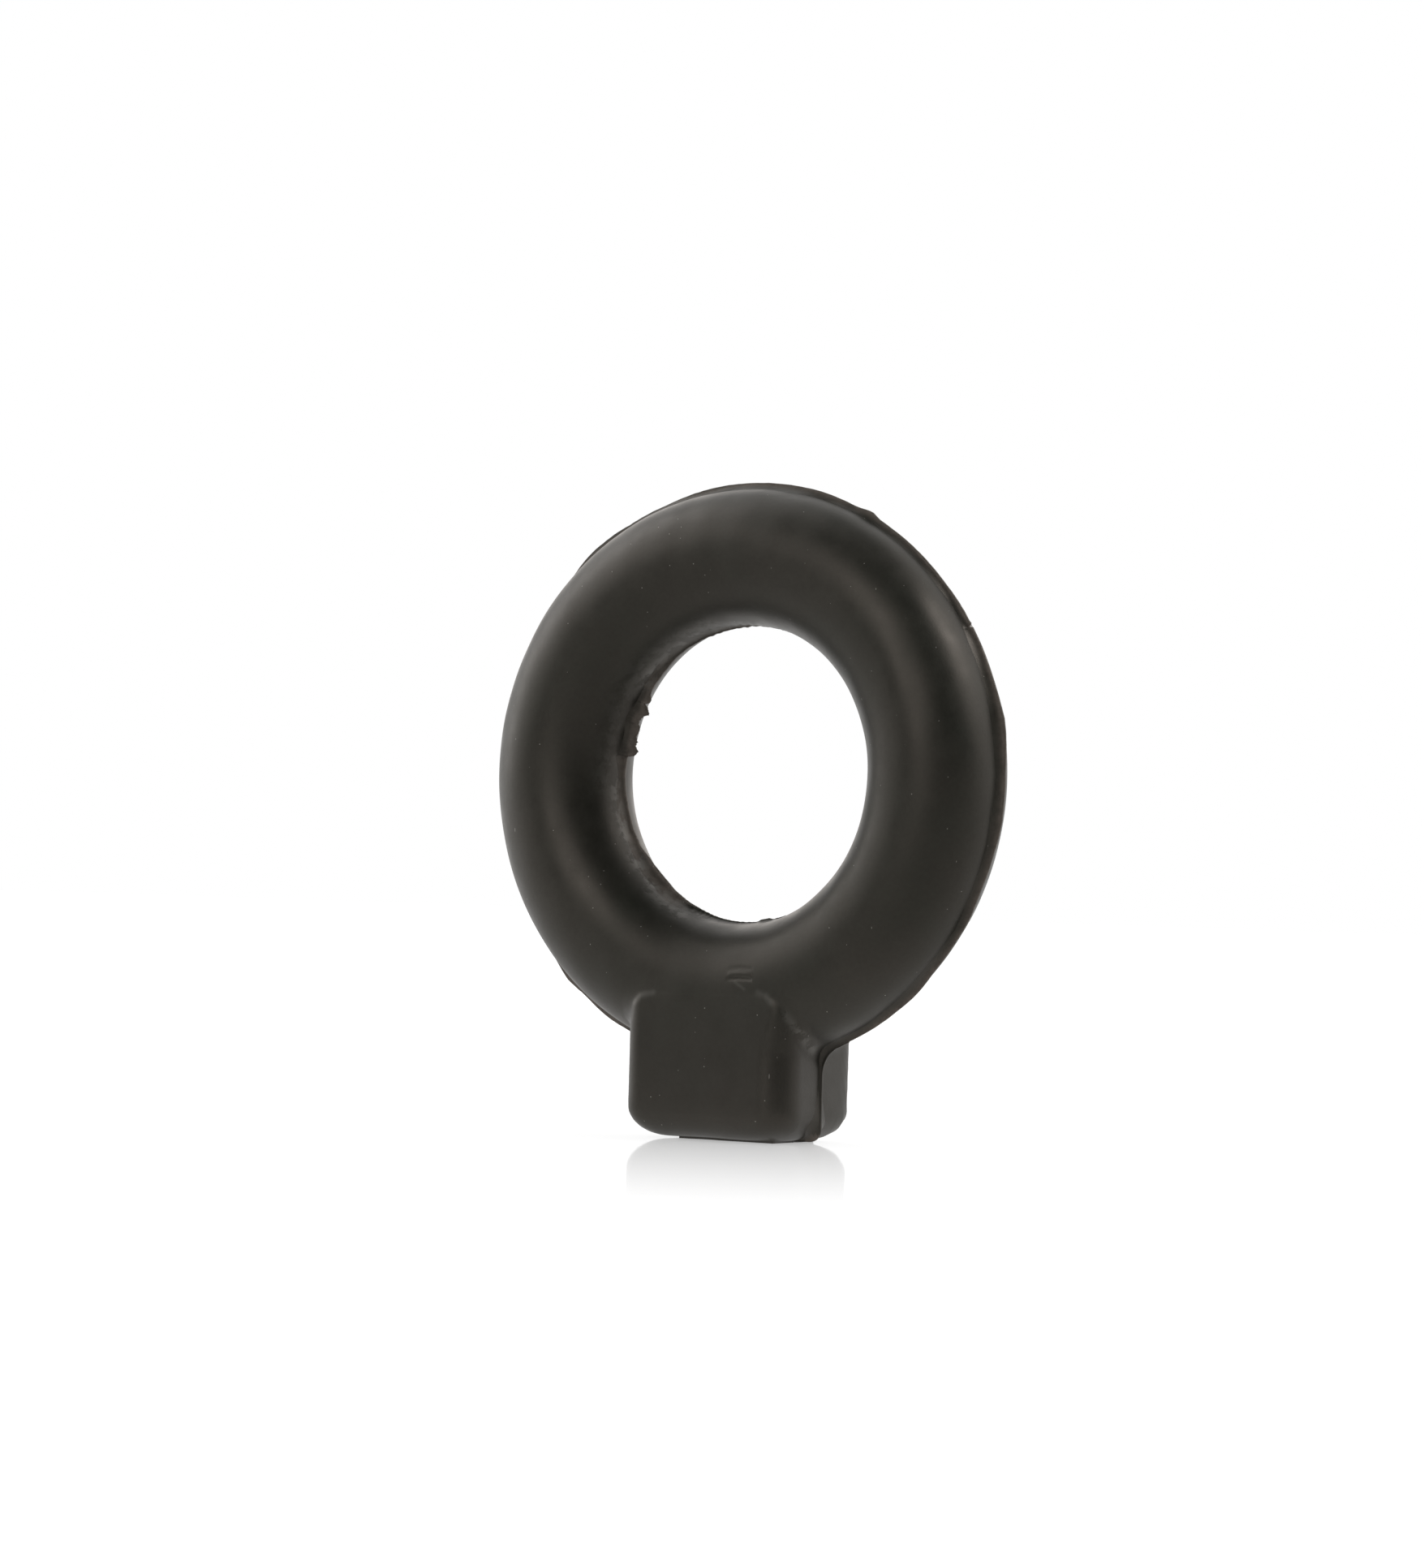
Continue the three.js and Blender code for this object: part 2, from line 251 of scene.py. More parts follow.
FIBRE_STRETCH = (1.1, 1.1, 0.14)
ROUGHNESS = (0.39, 0.46)      # of the bare rubber, by its mottle
FLASH_ROUGHER = 0.08
MARK_AND_HIGHLIGHT_SMOOTHER = 0.12
GRAIN_DEPTH = 0.00003         # of the skin's bumps, in metres
GRAIN_SHARE, FINE_SHARE, MARK_AND_HIGHLIGHT_SHARE = 0.5, 0.12, 0.15

# Table: its own colour, the white that only the camera sees on it, and how far its mirror image reaches
FLOOR_COLOUR = 0.45
FLOOR_WHITE = 0.73
MIRROR_SHARE = 0.66
MIRROR_REACH = 0.130
MIRROR_ROUGHNESS = 0.05
MIRROR_IOR = 1.45
FLOOR_HALF_SIZE = 6.0

# Light that the table throws up at the part: two distances in metres, and the strengths there. One pair runs
# along BEHIND, which points about away from the camera, and the other from the foot
BEHIND = (-0.45, 0.89, 0.0)
GLOW_BEHIND = (-0.05, 0.12, 0.05, 0.75)
GLOW_AT_FOOT = (0.0, 0.045, 0.4, 0.0)

WORLD_LIGHT = 0.9             # of the white world on matt surfaces
WHITE = (1.0, 1.0, 1.0)

# Lamps and flags: left and right azimuth, and bottom and top elevation, of the window that each fills, in
# degrees, and for lamps the radiance and the colour. Azimuth 0 is in front of the part and 90 to its right
LAMP_DISTANCE = 1.0
LAMPS = {
    "softbox_left": (-100, -73, 1, 56, 1.6, WHITE),
    "softbox_fill": (-60, -36, 20, 45, 0.9, WHITE),
    "softbox_front": (-8, 7, 5, 41, 3.5, WHITE),
    "softbox_front_right": (7, 24, 11, 41, 1.3, WHITE),
    "softbox_rear": (92, 150, 18, 35, 0.4, WHITE),
    "softbox_high": (94, 114, 33, 54, 7.4, WHITE),
    "softbox_back": (172, 235, 4, 32, 0.85, (1.0, 0.9, 0.8)),
}
FLAG_DISTANCE = 1.3
FLAG_COLUMNS, FLAG_ROWS = 24, 6
FLAG_COLOUR = (0.01, 0.01, 0.01, 1)
FLAGS = {
    "flag_camera_side": (-36, 95, 0, 57),
    "flag_overhead": (-53, 147, 58, 90),
    "flag_overhead_back": (147, 215, 64, 90),
}


def make_camera():
    """A camera that puts the ring's centre on its pixel of the photograph."""
    back = Vector((math.sin(VIEW_AZIMUTH) * math.cos(VIEW_ELEVATION),
                   -math.cos(VIEW_AZIMUTH) * math.cos(VIEW_ELEVATION),
                   math.sin(VIEW_ELEVATION)))
    level_right = Vector((math.cos(VIEW_AZIMUTH), math.sin(VIEW_AZIMUTH), 0.0))
    level_up = back.cross(level_right)
    cos_roll, sin_roll = math.cos(VIEW_ROLL), math.sin(VIEW_ROLL)
    right = level_right * cos_roll + level_up * sin_roll
    up = level_up * cos_roll - level_right * sin_roll
    eye = Vector((0, 0, RING_HEIGHT)) + back * VIEW_DISTANCE
    focal_pixels = PIXELS_PER_MM * VIEW_DISTANCE
    across = (FRAME_WIDTH / 2 - RING_CENTRE_PIXEL[0]) / focal_pixels
    down = (FRAME_HEIGHT / 2 - RING_CENTRE_PIXEL[1]) / focal_pixels
    axis = (back - right * across + up * down).normalized()
    right = (right - axis * right.dot(axis)).normalized()
    up = axis.cross(right)
    data = bpy.data.cameras.new("camera")
    data.sensor_fit = "HORIZONTAL"
    data.sensor_width = SENSOR_WIDTH
    data.lens = focal_pixels / FRAME_WIDTH * SENSOR_WIDTH
    data.clip_start = CLIP_START
    data.clip_end = CLIP_END
    camera = bpy.data.objects.new("camera", data)
    bpy.context.scene.collection.objects.link(camera)
    pose = Matrix((right, up, axis)).transposed().to_4x4()
    pose.translation = eye * MM
    camera.matrix_world = pose
    bpy.context.scene.camera = camera


def ramp(value, start, stop):
    """0 up to start, 1 from stop on, and straight between them."""
    return np.clip((value - start) / (stop - start), 0, 1)


def hump(value, middle, half_width, steepness=2):
    """1 in the middle and nearly 0 past the half width; steepness is an even number."""
    return np.exp(-((value - middle) / half_width) ** steepness)


# Distances in the body, in millimetres from the ring's centre: x across, y along the axis, z up

def torus_distance(x, y, z):
    """Distance to the ring's surface, and its outward normal."""
    from_axis = np.hypot(x, z)
    radial = from_axis - RING_RADIUS
    away = np.maximum(np.hypot(radial, y), 1e-9)
    safe = np.maximum(from_axis, 1e-9)
    normal = (radial / away * x / safe, y / away, radial / away * z / safe)
    return away - SECTION_RADIUS, normal


def corner_inset(height, radius):
    """How far a rounded edge has drawn in at this height above its flat."""
    left = np.clip(radius - height, 0, radius)
    return radius - np.sqrt(radius ** 2 - left ** 2)


def lug_distance(x, y, z):
    """Distance to the lug, a block with round edges and round top corners, and its outward normal."""
    above_foot = z + RING_HEIGHT - LAND_HEIGHT
    inset = corner_inset(above_foot, FOOT_EDGE_RADIUS)
    qx = np.abs(x) - (LUG_HALF_WIDTH - inset - LUG_CORNER_RADIUS)
    qz = z - (LUG_HEAD - RING_RADIUS - LUG_CORNER_RADIUS)
    ax, az = np.maximum(qx, 0), np.maximum(qz, 0)
    corner = np.hypot(ax, az)
    safe = np.maximum(corner, 1e-9)
    outline = corner + np.minimum(np.maximum(qx, qz), 0) - LUG_CORNER_RADIUS
    side_on = (qx > qz).astype(float)
    ox = np.where(corner > 0, ax / safe, side_on) * np.sign(x)
    oz = np.where(corner > 0, az / safe, 1 - side_on)
    low_down = ramp(-z, RING_RADIUS + RIGHT_EDGE_START, RING_RADIUS + RIGHT_EDGE_FULL)
    radius = LUG_EDGE_RADIUS + RIGHT_EDGE_EXTRA * low_down * (x > 0) * (y < 0)
    px = outline + radius
    py = np.abs(y) - (LUG_HALF_DEPTH - inset - radius)
    bx, by = np.maximum(px, 0), np.maximum(py, 0)
    edge = np.hypot(bx, by)
    safe = np.maximum(edge, 1e-9)
    distance = edge + np.minimum(np.maximum(px, py), 0) - radius
    outline_on = (px > py).astype(float)
    level = np.where(edge > 0, bx / safe, outline_on)
    normal = (ox * level, np.where(edge > 0, by / safe, 1 - outline_on) * np.sign(y), oz * level)
    return np.where(above_foot < 0, np.maximum(distance, -above_foot), distance), normal


def rolled_union(a, normal_a, b, normal_b, radius):
    """Union of two solids with the hollow that a ball of this radius leaves where it rests on both."""
    c = sum(p * q for p, q in zip(normal_a, normal_b))
    c = np.clip(c, -0.999, 0.99999)
    p, q = radius - a, radius - b
    share_a, share_b = p - c * q, q - c * p
    reach = np.sqrt(np.maximum(p * p + q * q - 2 * c * p * q, 0) / (1 - c * c))
    rolled = radius - reach
    touching = (p > 0) & (q > 0) & (share_a > 0) & (share_b > 0)
    return np.where(touching, rolled, np.minimum(a, b))


def land_distance(x, y, z):
    """The low pad of cut-off flash under the foot."""
    side = np.maximum(np.maximum(-LAND_LEFT - x, x - LAND_RIGHT), np.abs(y) - LAND_HALF_DEPTH)
    level = np.maximum(-RING_HEIGHT - z, z + RING_HEIGHT - FOOT_EDGE_RADIUS)
    return np.maximum(side, level)


def body_distance(x, y, z):
    """Distance to ring, lug and pad, without the flash."""
    ring, ring_normal = torus_distance(x, y, z)
    lug, lug_normal = lug_distance(x, y, z)
    return np.minimum(rolled_union(ring, ring_normal, lug, lug_normal, BLEND_RADIUS), land_distance(x, y, z))


def halve(value_at, outside, inside, shape):
    """Where the value at a reach turns from positive outside to negative inside, by halving the stretch."""
    high = np.full(shape, float(outside))
    low = np.full(shape, float(inside))
    for _ in range(HALVINGS):
        mid = (high + low) / 2
        value = value_at(mid)
        high = np.where(value > 0, mid, high)
        low = np.where(value > 0, low, mid)
    return (high + low) / 2


def find_surface(origin, heading, outside, inside):
    """Along each ray, the distance from its origin where the body's surface lies."""
    def value_at(reach):
        return body_distance(*(o + reach * h for o, h in zip(origin, heading)))

    return halve(value_at, outside, inside, origin[0].shape)


# The flash's outline, seen along the axis

def level_marks(marks, angles):
    """Rise at each angle in degrees, straight between marks."""
    start = marks[0][0]
    turned = (angles - start) % 360 + start
    return np.interp(turned, [m[0] for m in marks], [m[1] for m in marks])


def waves(angles, kind):
    """A smooth closed wander between about -1 and 1, the same at each run."""
    seed, count, slowest, fastest = WAVES[kind]
    random = np.random.default_rng(seed)
    total = np.zeros_like(angles)
    for _ in range(count):
        turns = random.integers(slowest, fastest)
        total += np.sin(np.radians(angles) * turns + random.uniform(0, 2 * math.pi))
    return total / math.sqrt(count)


def box_outline(x, z, half_width, bottom, corner):
    """Level distance to a block open at the top, with round lower corners, and its normal."""
    qx = np.abs(x) - (half_width - corner)
    qz = bottom + corner - z
    ax, az = np.maximum(qx, 0), np.maximum(qz, 0)
    away = np.hypot(ax, az)
    safe = np.maximum(away, 1e-9)
    inside_x = (qx > qz).astype(float)
    nx = np.where(away > 0, ax / safe, inside_x) * np.sign(x)
    nz = -np.where(away > 0, az / safe, 1 - inside_x)
    return away + np.minimum(np.maximum(qx, qz), 0) - corner, (nx, nz)


def outer_flash_tip(angles):
    """Distance of the outer flash's cut edge from the ring's centre, at each angle in degrees."""
    rise = level_marks(OUTER_RISE, angles) + OUTER_TRIM * waves(angles, "outer edge")
    ex, ez = np.cos(np.radians(angles)), np.sin(np.radians(angles))
    ridge = LUG_HALF_WIDTH + RIDGE_RISE

    def value_at(reach):
        x, z = reach * ex, reach * ez
        circle = reach - OUTER_RADIUS - rise
        right_foot = np.where(x > LAND_RIGHT, TORN_FOOT - RING_HEIGHT, -RING_HEIGHT)
        right, right_normal = box_outline(x, z, ridge, right_foot, WEB_FOOT_RADIUS)
        left, left_normal = box_outline(x, z, ridge, LAND_HEIGHT - RING_HEIGHT,
                                        FOOT_EDGE_RADIUS + 0.5 * RIDGE_RISE)
        block = np.where(x > -LAND_LEFT, right, left)
        normal = tuple(np.where(x > -LAND_LEFT, r, l) for r, l in zip(right_normal, left_normal))
        union = rolled_union(circle, (ex, ez), block, normal, WEB_RADIUS)
        beside_lug = z < -LUG_HALF_WIDTH
        return np.where(beside_lug, union, circle)

    return halve(value_at, OUTER_LIMIT, FLASH_SEARCH_START, angles.shape)


def hole_flash_tip(angles, torn, rough_top):
    """Distance of the hole's flash's cut edge from the ring's centre, at each angle in degrees."""
    tip = HOLE_RADIUS - level_marks(INNER_RISE, angles % 360) - HOLE_TRIM * waves(angles, "hole edge")
    tip -= torn * TORN_TRIM * waves(angles, "torn edge")
    tip -= rough_top * (ROUGH_TRIM + ROUGH_TRIM * waves(angles, "rough top"))
    return tip


def outer_flash_feet(angles, lug_turn):
    """Half width of the outer flash's foot in front and behind: it wanders, and is narrow on the lug."""
    on_ring = ramp(lug_turn, *FOOT_WIDENS)
    corner = FOOT_CORNER_EXTRA * hump(angles, *FOOT_CORNER)
    foot = FLASH_HALF + on_ring * (FLASH_FOOT - FLASH_HALF + FOOT_WANDER * waves(angles, "outer foot"))
    return foot + corner, FLASH_HALF + on_ring * BACK_FOOT_EXTRA + corner


def hole_flash_feet(angles, torn):
    """Half width of the foot of the hole's flash in front and behind."""
    foot = FLASH_HALF + HOLE_FOOT_EXTRA + HOLE_FOOT_WANDER * waves(angles, "hole foot")
    at_left = hump(angles % 360, *HOLE_LEFT)
    foot = foot + at_left * (HOLE_LEFT_EXTRA + HOLE_LEFT_WANDER * waves(angles, "hole left"))
    swelling = hump(angles, *HOLE_UPPER) + hump(angles % 360, *HOLE_LOWER)
    foot = foot + HOLE_SWELLING * swelling - TORN_FOOT_LESS * torn
    return foot, np.full(angles.shape, FLASH_HALF + HOLE_BACK_EXTRA)


def dent_depth(x, z):
    """Depth of the small eyelid-shaped blister in the ring's front, with the creases over and under it."""
    across = np.clip(1 - ((x - DENT_X) / DENT_HALF_LENGTH) ** 2, 0, 1)
    droop = z - DENT_Z + DENT_DROOP * (1 - across)
    return np.sqrt(across) * sum(depth * hump(droop, middle, width) for middle, width, depth in DENT_FOLDS)


# The skin is a grid of columns round the ring and rows round its section

def column_angles():
    """Angles of the columns in degrees: close together at the lug's walls, the torn flash and the nick."""
    half = []
    for start, stop, step in zip(LUG_BOUNDS[:-1], LUG_BOUNDS[1:], LUG_STEPS):
        half.extend(np.arange(start, stop - step / 2, step))
    half = np.array(half)
    lower = np.concatenate([-90 + half, -90 - half[1:]])
    ring = np.arange(-90 + LUG_BOUNDS[-1], 270 - LUG_BOUNDS[-1] + 0.01, RING_STEP)
    torn = np.arange(*TORN_COLUMNS)
    ring = ring[(ring < TORN_SPAN[0]) | (ring > TORN_SPAN[1])]
    ring = ring[np.abs(ring - NICK_MIDDLE) > NICK_CLEAR]
    steps = list(np.arange(*NICK_COLUMNS))
    for edge in LAND_STEPS:
        lower = lower[np.abs(lower - edge) > LAND_STEP_CLEAR]
        steps.extend([edge - LAND_STEP_GAP, edge + LAND_STEP_GAP])
    for edge in TORN_STEPS:
        torn = torn[np.abs(torn - edge) > TORN_STEP_CLEAR]
        steps.extend([edge - TORN_STEP_GAP, edge + TORN_STEP_GAP])
    angles = np.concatenate([lower, ring, torn, steps])
    angles = np.where(angles < -90 - LUG_BOUNDS[-1] - 0.001, angles + 360, angles)
    return np.sort((angles + 130) % 360 - 130)


def spread(start, stop, count, crowd=0.0):
    """Row places between two angles for each column, without the first and last; crowd packs them midway."""
    share = np.linspace(0, 1, 400)
    density = 1 + crowd * hump(share, CROWD_MIDDLE, CROWD_WIDTH)
    reached = np.concatenate([[0], np.cumsum((density[1:] + density[:-1]) / 2)])
    places = np.interp((np.arange(count) + 1) / (count + 1), reached / reached[-1], share)
    return start[:, None] + (stop - start)[:, None] * places


def wander(x, y, z, seed, count, shortest, longest):
    """Smooth unevenness between about -1 and 1 all over the body, with wavelengths in millimetres."""
    random = np.random.default_rng(seed)
    total = np.zeros_like(x)
    for _ in range(count):
        heading = random.normal(size=3)
        heading *= 2 * math.pi / random.uniform(shortest, longest) / np.linalg.norm(heading)
        total += np.sin(heading[0] * x + heading[1] * y + heading[2] * z + random.uniform(0, 2 * math.pi))
    return total / math.sqrt(count)


def flash_share(grid, first_rows, torn):
    """How much of the flash's colour each point has: all at the flash's tip, and less towards its foot."""
    share = np.zeros(grid.shape[:2])
    for first, rise in zip(first_rows, (OUTER_FLASH_SHARES, HOLE_FLASH_SHARES)):
        profile = rise + [1.0] + rise[::-1]
        share[:, first:first + len(profile)] = profile
    # The front of the torn piece's foot is nearly as dark as the rubber
    first = first_rows[1]
    share[:, first:first + TORN_FOOT_ROWS] *= (1 - TORN_FOOT_DARK * torn)[:, None]
    return share


def hanger_grid():
    """The skin's points in millimetres, columns by rows, its creased rows, and each point's share of flash."""
    angles = column_angles()
    radians = np.radians(angles)
    ex, ez = np.cos(radians), np.sin(radians)
    lug_turn = np.abs((angles + 270) % 360 - 180)
    torn = ((angles % 360 > TORN_START) & (angles % 360 < TORN_STOP)).astype(float)
    rough_top = hump(angles, *ROUGH_TOP)

    tip = outer_flash_tip(angles)
    hole_tip = hole_flash_tip(angles, torn, rough_top)
    lean = FLASH_LEAN * waves(angles, "outer lean")
    hole_lean = FLASH_LEAN * waves(angles, "hole lean") + torn * TORN_LEAN * waves(angles, "torn lean")
    foot, back_foot = outer_flash_feet(angles, lug_turn)
    hole_foot, hole_back = hole_flash_feet(angles, torn)

    pad_reach = RING_HEIGHT / np.cos(np.radians(np.minimum(lug_turn, PAD_TURN))) - RING_RADIUS
    pad = np.arctan2(LAND_HALF_DEPTH, pad_reach)

    def root_at(y):
        """Where the flash's face meets the ring or the lug, this far from the middle plane."""
        zero = np.zeros_like(ex)
        surface = find_surface((zero, y, zero), (ex, zero, ez), OUTER_LIMIT, ROOT_SEARCH_START)
        return np.minimum(surface, tip - LEAST_RISE)

    def hole_root_at(y):
        return np.maximum(RING_RADIUS - np.sqrt(SECTION_RADIUS ** 2 - y ** 2), hole_tip + LEAST_RISE)

    def body_rows(side, counts, outer_foot, inner_foot):
        """Rows over the front (side -1) or the back (side 1), from the outer flash's foot to the hole's."""
        start = np.arctan2(outer_foot, root_at(outer_foot) - RING_RADIUS)
        stop = math.pi - np.arctan2(inner_foot, RING_RADIUS - hole_root_at(inner_foot))
        turns = np.concatenate([
            spread(start, pad - PAD_GAP, counts[0]),
            (pad - PAD_GAP)[:, None], (pad + PAD_GAP)[:, None],
            spread(pad + PAD_GAP, stop, counts[1], ROW_CROWD),
        ], axis=1)
        cos, sin = np.cos(turns), np.sin(turns) * side
        origin = (np.repeat((RING_RADIUS * ex)[:, None], turns.shape[1], 1), np.zeros_like(turns),
                  np.repeat((RING_RADIUS * ez)[:, None], turns.shape[1], 1))
        heading = (cos * ex[:, None], sin, cos * ez[:, None])
        reach = find_surface(origin, heading, *SECTION_SEARCH)
        points = [o + reach * h for o, h in zip(origin, heading)]
        reach = reach + UNEVENNESS * wander(*points, *SKIN_WAVES)
        from_foot = (stop[:, None] - turns) * SECTION_RADIUS
        slant = np.degrees(MARK_SLANT * from_foot / HOLE_RADIUS)
        marks = waves(angles[:, None] + slant, "rough top")
        reach = reach + MARK_HEIGHT * rough_top[:, None] * hump(from_foot, 0, MARK_REACH) * marks
        points = [o + reach * h for o, h in zip(origin, heading)]
        if side < 0:
            points[1] = points[1] + dent_depth(points[0], points[2])
        return np.stack(points, -1)

    def row_at(radius, y):
        return np.stack([radius * ex, np.broadcast_to(y, radius.shape), radius * ez], -1)[:, None, :]

    def face(root, tip_at, foot_at, lean_at, side, shares):
        """Rows up one face of the flash: hollow at its foot and thin at its tip."""
        rows = []
        for share in shares:
            half = FLASH_TIP_HALF + (foot_at - FLASH_TIP_HALF) * (1 - share) ** 2
            rows.append(row_at(root + (tip_at - root) * share, side * half + lean_at * share ** 2))
        return rows

    def flash_rows(first_root, last_root, tip_at, first_foot, last_foot, lean_at, first_side):
        """Rows up one face of the flash, over its cut edge and down its other face."""
        rows = face(first_root, tip_at, first_foot, lean_at, first_side, FACE_ROWS)
        for side in (first_side, 0, -first_side):
            rows.append(row_at(tip_at, side * FLASH_TIP_HALF * FLASH_TIP_ROUND + lean_at))
        rows += face(last_root, tip_at, last_foot, lean_at, -first_side, FACE_ROWS[::-1])
        return np.concatenate(rows, axis=1)

    front = body_rows(-1, FRONT_ROWS, foot, hole_foot)
    back = body_rows(1, BACK_ROWS, back_foot, hole_back)[:, ::-1]
    outer = flash_rows(root_at(back_foot), root_at(foot), tip, back_foot, foot, lean, 1)
    inner = flash_rows(hole_root_at(hole_foot), hole_root_at(hole_back), hole_tip, hole_foot, hole_back,
                       hole_lean, -1)
    grid = np.concatenate([outer, front, inner, back], axis=1)
    grid[:, :, 2] = np.maximum(grid[:, :, 2] + RING_HEIGHT, 0)

    first_rows = (0, outer.shape[1] + front.shape[1])
    face_count = len(FACE_ROWS)
    creases = [first + row for first in first_rows
               for row in (0, face_count - 1, face_count + 3, 2 * face_count + 2)]

    # On the lug the flash is as dark as the rest, but for its torn end at the foot
    share = flash_share(grid, first_rows, torn)
    torn_end = (grid[:, :, 0] > TORN_END_X) & (grid[:, :, 2] < TORN_END_Z)
    shown = ramp(lug_turn, *FLASH_SHOWS) * (1 - HOLE_UPPER_DARK * hump(angles, *HOLE_UPPER))
    return grid, creases, np.where(torn_end, share, share * shown[:, None])


def mark_strength(grid, marks):
    """How strongly the marks and painted highlights show at each point, by its distance from the middle line of
    each.
    """
    points = grid - (0, 0, RING_HEIGHT)
    total = np.zeros(grid.shape[:2])
    for start, stop, radius, strength in marks:
        start, along = np.array(start), np.array(stop) - np.array(start)
        share = np.clip((points - start) @ along / (along @ along), 0, 1)
        away = np.linalg.norm(points - start - share[..., None] * along, axis=-1)
        total = np.maximum(total, strength * hump(away, 0, radius))
    return total


def add_mesh(name, points, faces):
    mesh = bpy.data.meshes.new(name)
    mesh.from_pydata(points, [], faces)
    mesh.update()
    thing = bpy.data.objects.new(name, mesh)
    bpy.context.scene.collection.objects.link(thing)
    return thing


def make_hanger():
    """The moulded body: one closed skin, smooth but for the creases along the flash."""
    grid, creases, flash = hanger_grid()
    columns, rows = grid.shape[:2]
    here = np.arange(columns * rows).reshape(columns, rows)
    ahead = np.roll(here, -1, axis=0)
    quads = np.stack([here, ahead, np.roll(ahead, -1, 1), np.roll(here, -1, 1)], -1).reshape(-1, 4)
    hanger = add_mesh("hanger", (grid.reshape(-1, 3) * MM).tolist(), quads.tolist())
    mesh = hanger.data
    mesh.polygons.foreach_set("use_smooth", np.ones(len(mesh.polygons), bool))
    ends = np.zeros(len(mesh.edges) * 2, np.int64)
    mesh.edges.foreach_get("vertices", ends)
    ends = ends.reshape(-1, 2) % rows
    sharp = np.isin(ends[:, 0], creases) & (ends[:, 0] == ends[:, 1])
    mesh.attributes.new("sharp_edge", "BOOLEAN", "EDGE").data.foreach_set("value", sharp)
    for name, values in (("flash", flash), ("smear_and_highlight", mark_strength(grid, SMEARS_AND_HIGHLIGHTS)), ("lip_highlight_and_scratch", mark_strength(grid, LIP_HIGHLIGHTS_AND_SCRATCH))):
        mesh.attributes.new(name, "FLOAT", "POINT").data.foreach_set("value", values.ravel())
    return hanger


class Nodes:
    """Short calls for building a material's nodes."""

    def __init__(self, name):
        self.material = bpy.data.materials.new(name)
        self.material.use_nodes = True
        self.tree = self.material.node_tree
        self.shader = self.tree.nodes["Principled BSDF"]

    def feed(self, socket, value):
        if isinstance(value, bpy.types.NodeSocket):
            self.tree.links.new(value, socket)
        else:
            socket.default_value = value

    def add(self, kind, **inputs):
        node = self.tree.nodes.new("ShaderNode" + kind)
        for name, value in inputs.items():
            self.feed(node.inputs[name], value)
        return node

    def shade(self, **inputs):
        """Set the shader's own sockets; an underscore in a name stands for a space."""
        for name, value in inputs.items():
            self.feed(self.shader.inputs[name.replace("_", " ")], value)

    def math(self, operation, *values):
        node = self.add("Math")
        node.operation = operation
        for socket, value in zip(node.inputs, values):
            self.feed(socket, value)
        return node.outputs[0]

    def vector_math(self, operation, first, second=None, scale=None):
        node = self.add("VectorMath")
        node.operation = operation
        for socket, value in ((0, first), (1, second), ("Scale", scale)):
            if value is not None:
                self.feed(node.inputs[socket], value)
        return node.outputs

    def level(self, value, low, high, to_low=0.0, to_high=1.0):
        node = self.add("MapRange")
        for socket, number in zip(list(node.inputs)[:5], (value, low, high, to_low, to_high)):
            self.feed(socket, number)
        return node.outputs[0]

    def blend(self, share, first, second, how="MIX"):
        node = self.add("Mix")
        node.data_type = "RGBA"
        node.blend_type = how
        self.feed(node.inputs[0], share)
        self.feed(node.inputs[6], first)
        self.feed(node.inputs[7], second)
        return node.outputs[2]

    def attribute(self, name):
        node = self.add("Attribute")
        node.attribute_name = name
        return node.outputs["Fac"]


